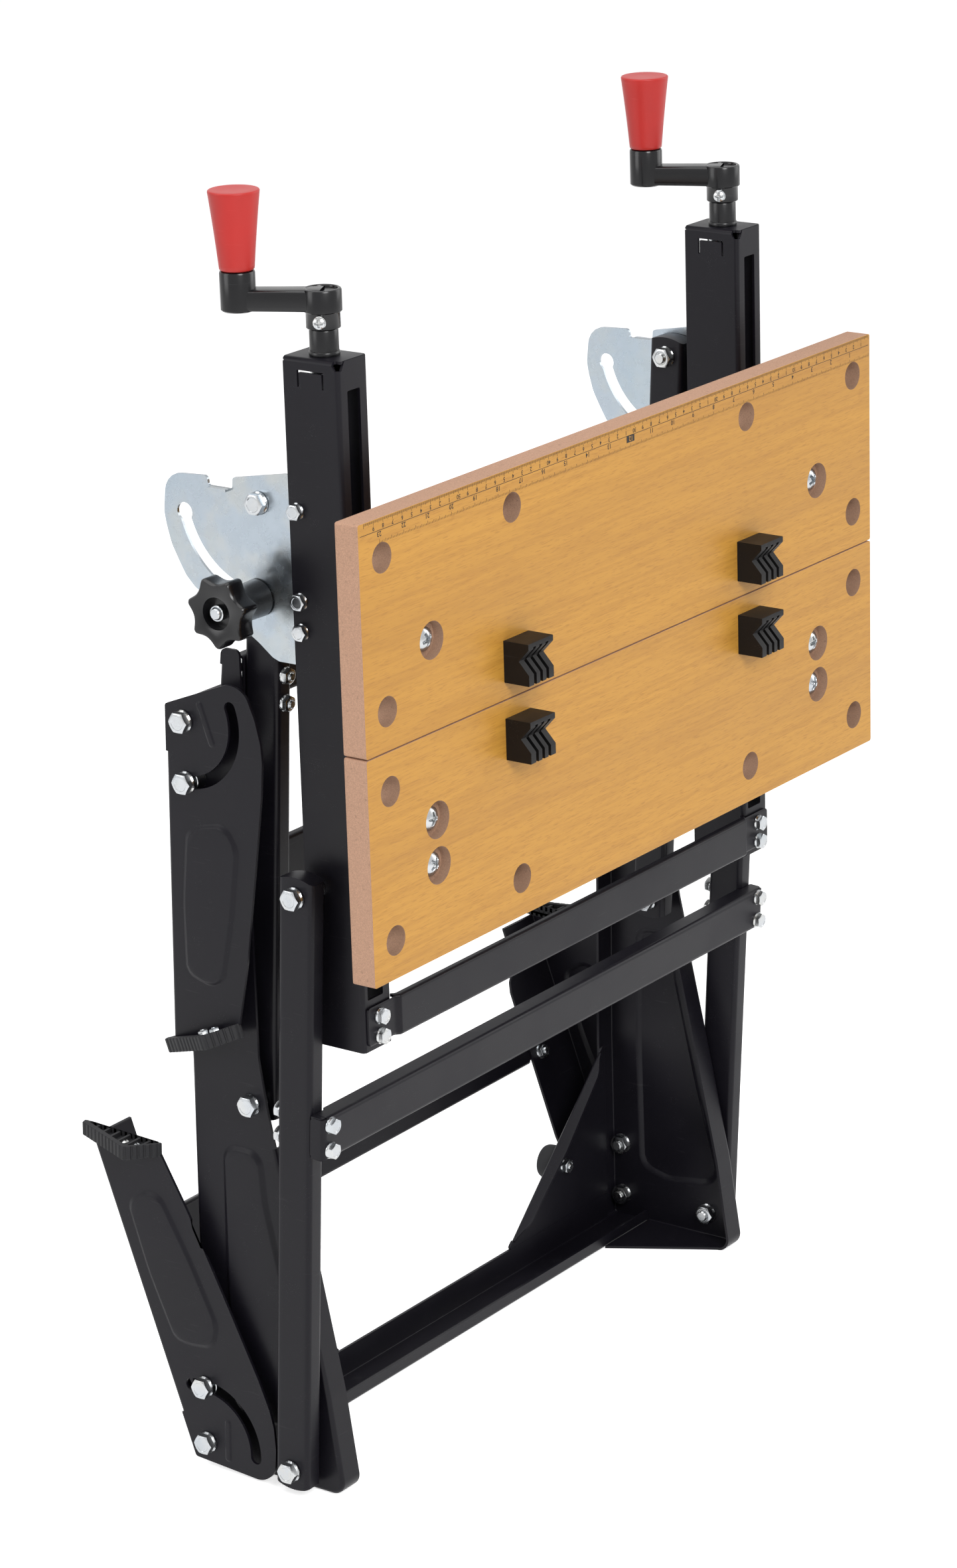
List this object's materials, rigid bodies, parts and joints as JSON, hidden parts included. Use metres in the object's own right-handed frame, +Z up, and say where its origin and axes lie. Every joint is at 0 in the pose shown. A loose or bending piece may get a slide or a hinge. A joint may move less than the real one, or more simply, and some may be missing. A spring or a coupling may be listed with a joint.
{
  "type": "folding workbench",
  "caption": "Folding clamping workbench with laminated jaw boards, cranked lead screws, swivel dogs, quadrant braces, a parallel folding linkage and swing-out legs, standing folded.",
  "frame": {"origin": "middle of the bottom channel's underside, on the floor", "axes": "+Z up as the bench stands folded, +X to its right seen from the jaws, +Y from the jaws to the rear"},
  "size_m": [0.608, 0.3103, 0.9014],
  "materials": {
    "black_steel": "satin",
    "zinc_steel": "satin",
    "zinc_plate": "satin",
    "beech_board": "satin",
    "red_grip": "satin",
    "black_plastic": "matte",
    "black_gloss": "semi-gloss",
    "rubber": "matte"
  },
  "bodies": {
    "base": {"base_panel_left": "black_steel", "base_panel_right": "black_steel", "bottom_channel": "black_steel", "gusset_left": "black_steel", "gusset_right": "black_steel", "bumper_left": "rubber", "bumper_right": "rubber", "bumper_fasteners": "zinc_steel", "middle_pivot_fasteners": "zinc_steel", "foot_pivot_fasteners": "zinc_steel", "leg_fasteners": "zinc_steel"},
    "posts": {"post_left": "black_steel", "post_right": "black_steel", "post_crossbar": "black_steel", "post_crossbar_fasteners": "zinc_steel", "table_pivot_fasteners": "zinc_steel", "knob_studs": "zinc_steel"},
    "knob_left": {"knob_left": "black_plastic"},
    "knob_right": {"knob_right": "black_plastic"},
    "links": {"link_left": "black_steel", "link_right": "black_steel", "link_crossbar": "black_steel", "link_crossbar_fasteners": "zinc_steel"},
    "table": {"beam_left": "black_steel", "beam_right": "black_steel", "quadrant_left": "zinc_plate", "quadrant_right": "zinc_plate", "quadrant_fasteners": "zinc_steel", "beam_crossbar": "black_steel", "beam_crossbar_fasteners": "zinc_steel", "link_top_fasteners": "zinc_steel", "screw_bearings": "black_plastic", "fixed_jaw": "beech_board", "fixed_jaw_blocks": "black_plastic", "fixed_jaw_fasteners": "zinc_steel"},
    "jaw": {"moving_jaw": "beech_board", "jaw_carriage_left": "black_plastic", "jaw_carriage_right": "black_plastic", "moving_jaw_screws": "zinc_steel"},
    "crank_left": {"lead_screw_left": "zinc_steel", "crank_left": "black_gloss"},
    "crank_right": {"lead_screw_right": "zinc_steel", "crank_right": "black_gloss"},
    "grip_left": {"grip_left": "red_grip"},
    "grip_right": {"grip_right": "red_grip"},
    "dog_upper_left": {"dog_upper_left": "black_plastic"},
    "dog_upper_right": {"dog_upper_right": "black_plastic"},
    "dog_lower_left": {"dog_lower_left": "black_plastic"},
    "dog_lower_right": {"dog_lower_right": "black_plastic"},
    "upper_legs": {"upper_leg_left": "black_steel", "upper_leg_right": "black_steel", "upper_leg_crossbar": "black_steel", "upper_feet": "rubber", "upper_leg_fasteners": "zinc_steel"},
    "lower_legs": {"lower_leg_left": "black_steel", "lower_leg_right": "black_steel", "lower_leg_crossbar": "black_steel", "lower_feet": "rubber", "lower_leg_fasteners": "zinc_steel"}
  },
  "joints": [
    {"name": "fold", "type": "hinge", "parent": "base", "child": "posts", "pos_m": [0, -0.03548, 0.27595], "axis": [1, 0, 0], "range_deg": [0, 74]},
    {"name": "link_swing", "type": "hinge", "parent": "base", "child": "links", "pos_m": [0, -0.07053, 0.02003], "axis": [1, 0, 0], "range_deg": [0, 74]},
    {"name": "table_turn", "type": "hinge", "parent": "posts", "child": "table", "pos_m": [0, -0.06048, 0.69595], "axis": [1, 0, 0], "range_deg": [-74, 0]},
    {"name": "jaw_slide", "type": "slide", "parent": "table", "child": "jaw", "axis": [0, 0, 1], "range_m": [0, 0.11]},
    {"name": "crank_turn_left", "type": "hinge", "parent": "table", "child": "crank_left", "pos_m": [-0.2315, -0.10848, 0.79595], "axis": [0, 0, 1], "range_deg": [-9901, 0]},
    {"name": "grip_spin_left", "type": "hinge", "parent": "crank_left", "child": "grip_left", "pos_m": [-0.25496, -0.05929, 0.85025], "axis": [0, 0, 1], "continuous": true},
    {"name": "knob_turn_left", "type": "hinge", "parent": "posts", "child": "knob_left", "pos_m": [-0.265, -0.05668, 0.63206], "axis": [1, 0, 0], "continuous": true},
    {"name": "dog_swivel_upper_left", "type": "hinge", "parent": "jaw", "child": "dog_upper_left", "pos_m": [-0.1402, -0.18548, 0.58445], "axis": [0, 1, 0], "continuous": true},
    {"name": "dog_swivel_lower_left", "type": "hinge", "parent": "table", "child": "dog_lower_left", "pos_m": [-0.1402, -0.18548, 0.53145], "axis": [0, 1, 0], "continuous": true},
    {"name": "crank_turn_right", "type": "hinge", "parent": "table", "child": "crank_right", "pos_m": [0.2315, -0.10848, 0.79595], "axis": [0, 0, 1], "range_deg": [-9901, 0]},
    {"name": "grip_spin_right", "type": "hinge", "parent": "crank_right", "child": "grip_right", "pos_m": [0.21003, -0.05839, 0.85025], "axis": [0, 0, 1], "continuous": true},
    {"name": "knob_turn_right", "type": "hinge", "parent": "posts", "child": "knob_right", "pos_m": [0.265, -0.05668, 0.63206], "axis": [1, 0, 0], "continuous": true},
    {"name": "dog_swivel_upper_right", "type": "hinge", "parent": "jaw", "child": "dog_upper_right", "pos_m": [0.1402, -0.18548, 0.58445], "axis": [0, 1, 0], "continuous": true},
    {"name": "dog_swivel_lower_right", "type": "hinge", "parent": "table", "child": "dog_lower_right", "pos_m": [0.1402, -0.18548, 0.53145], "axis": [0, 1, 0], "continuous": true},
    {"name": "upper_legs_swing", "type": "hinge", "parent": "base", "child": "upper_legs", "pos_m": [0, -0.0035, 0.54498], "axis": [1, 0, 0], "range_deg": [0, 110]},
    {"name": "lower_legs_swing", "type": "hinge", "parent": "base", "child": "lower_legs", "pos_m": [0, 0.00747, 0.01901], "axis": [1, 0, 0], "range_deg": [-92.4, 17.6]}
  ],
  "couplings": [
    {"joint": "link_swing", "follows": "fold", "ratio": 1},
    {"joint": "table_turn", "follows": "fold", "ratio": -1},
    {"joint": "crank_turn_left", "follows": "jaw_slide", "rad_per_m": -1570.8},
    {"joint": "crank_turn_right", "follows": "jaw_slide", "rad_per_m": -1570.8}
  ]
}
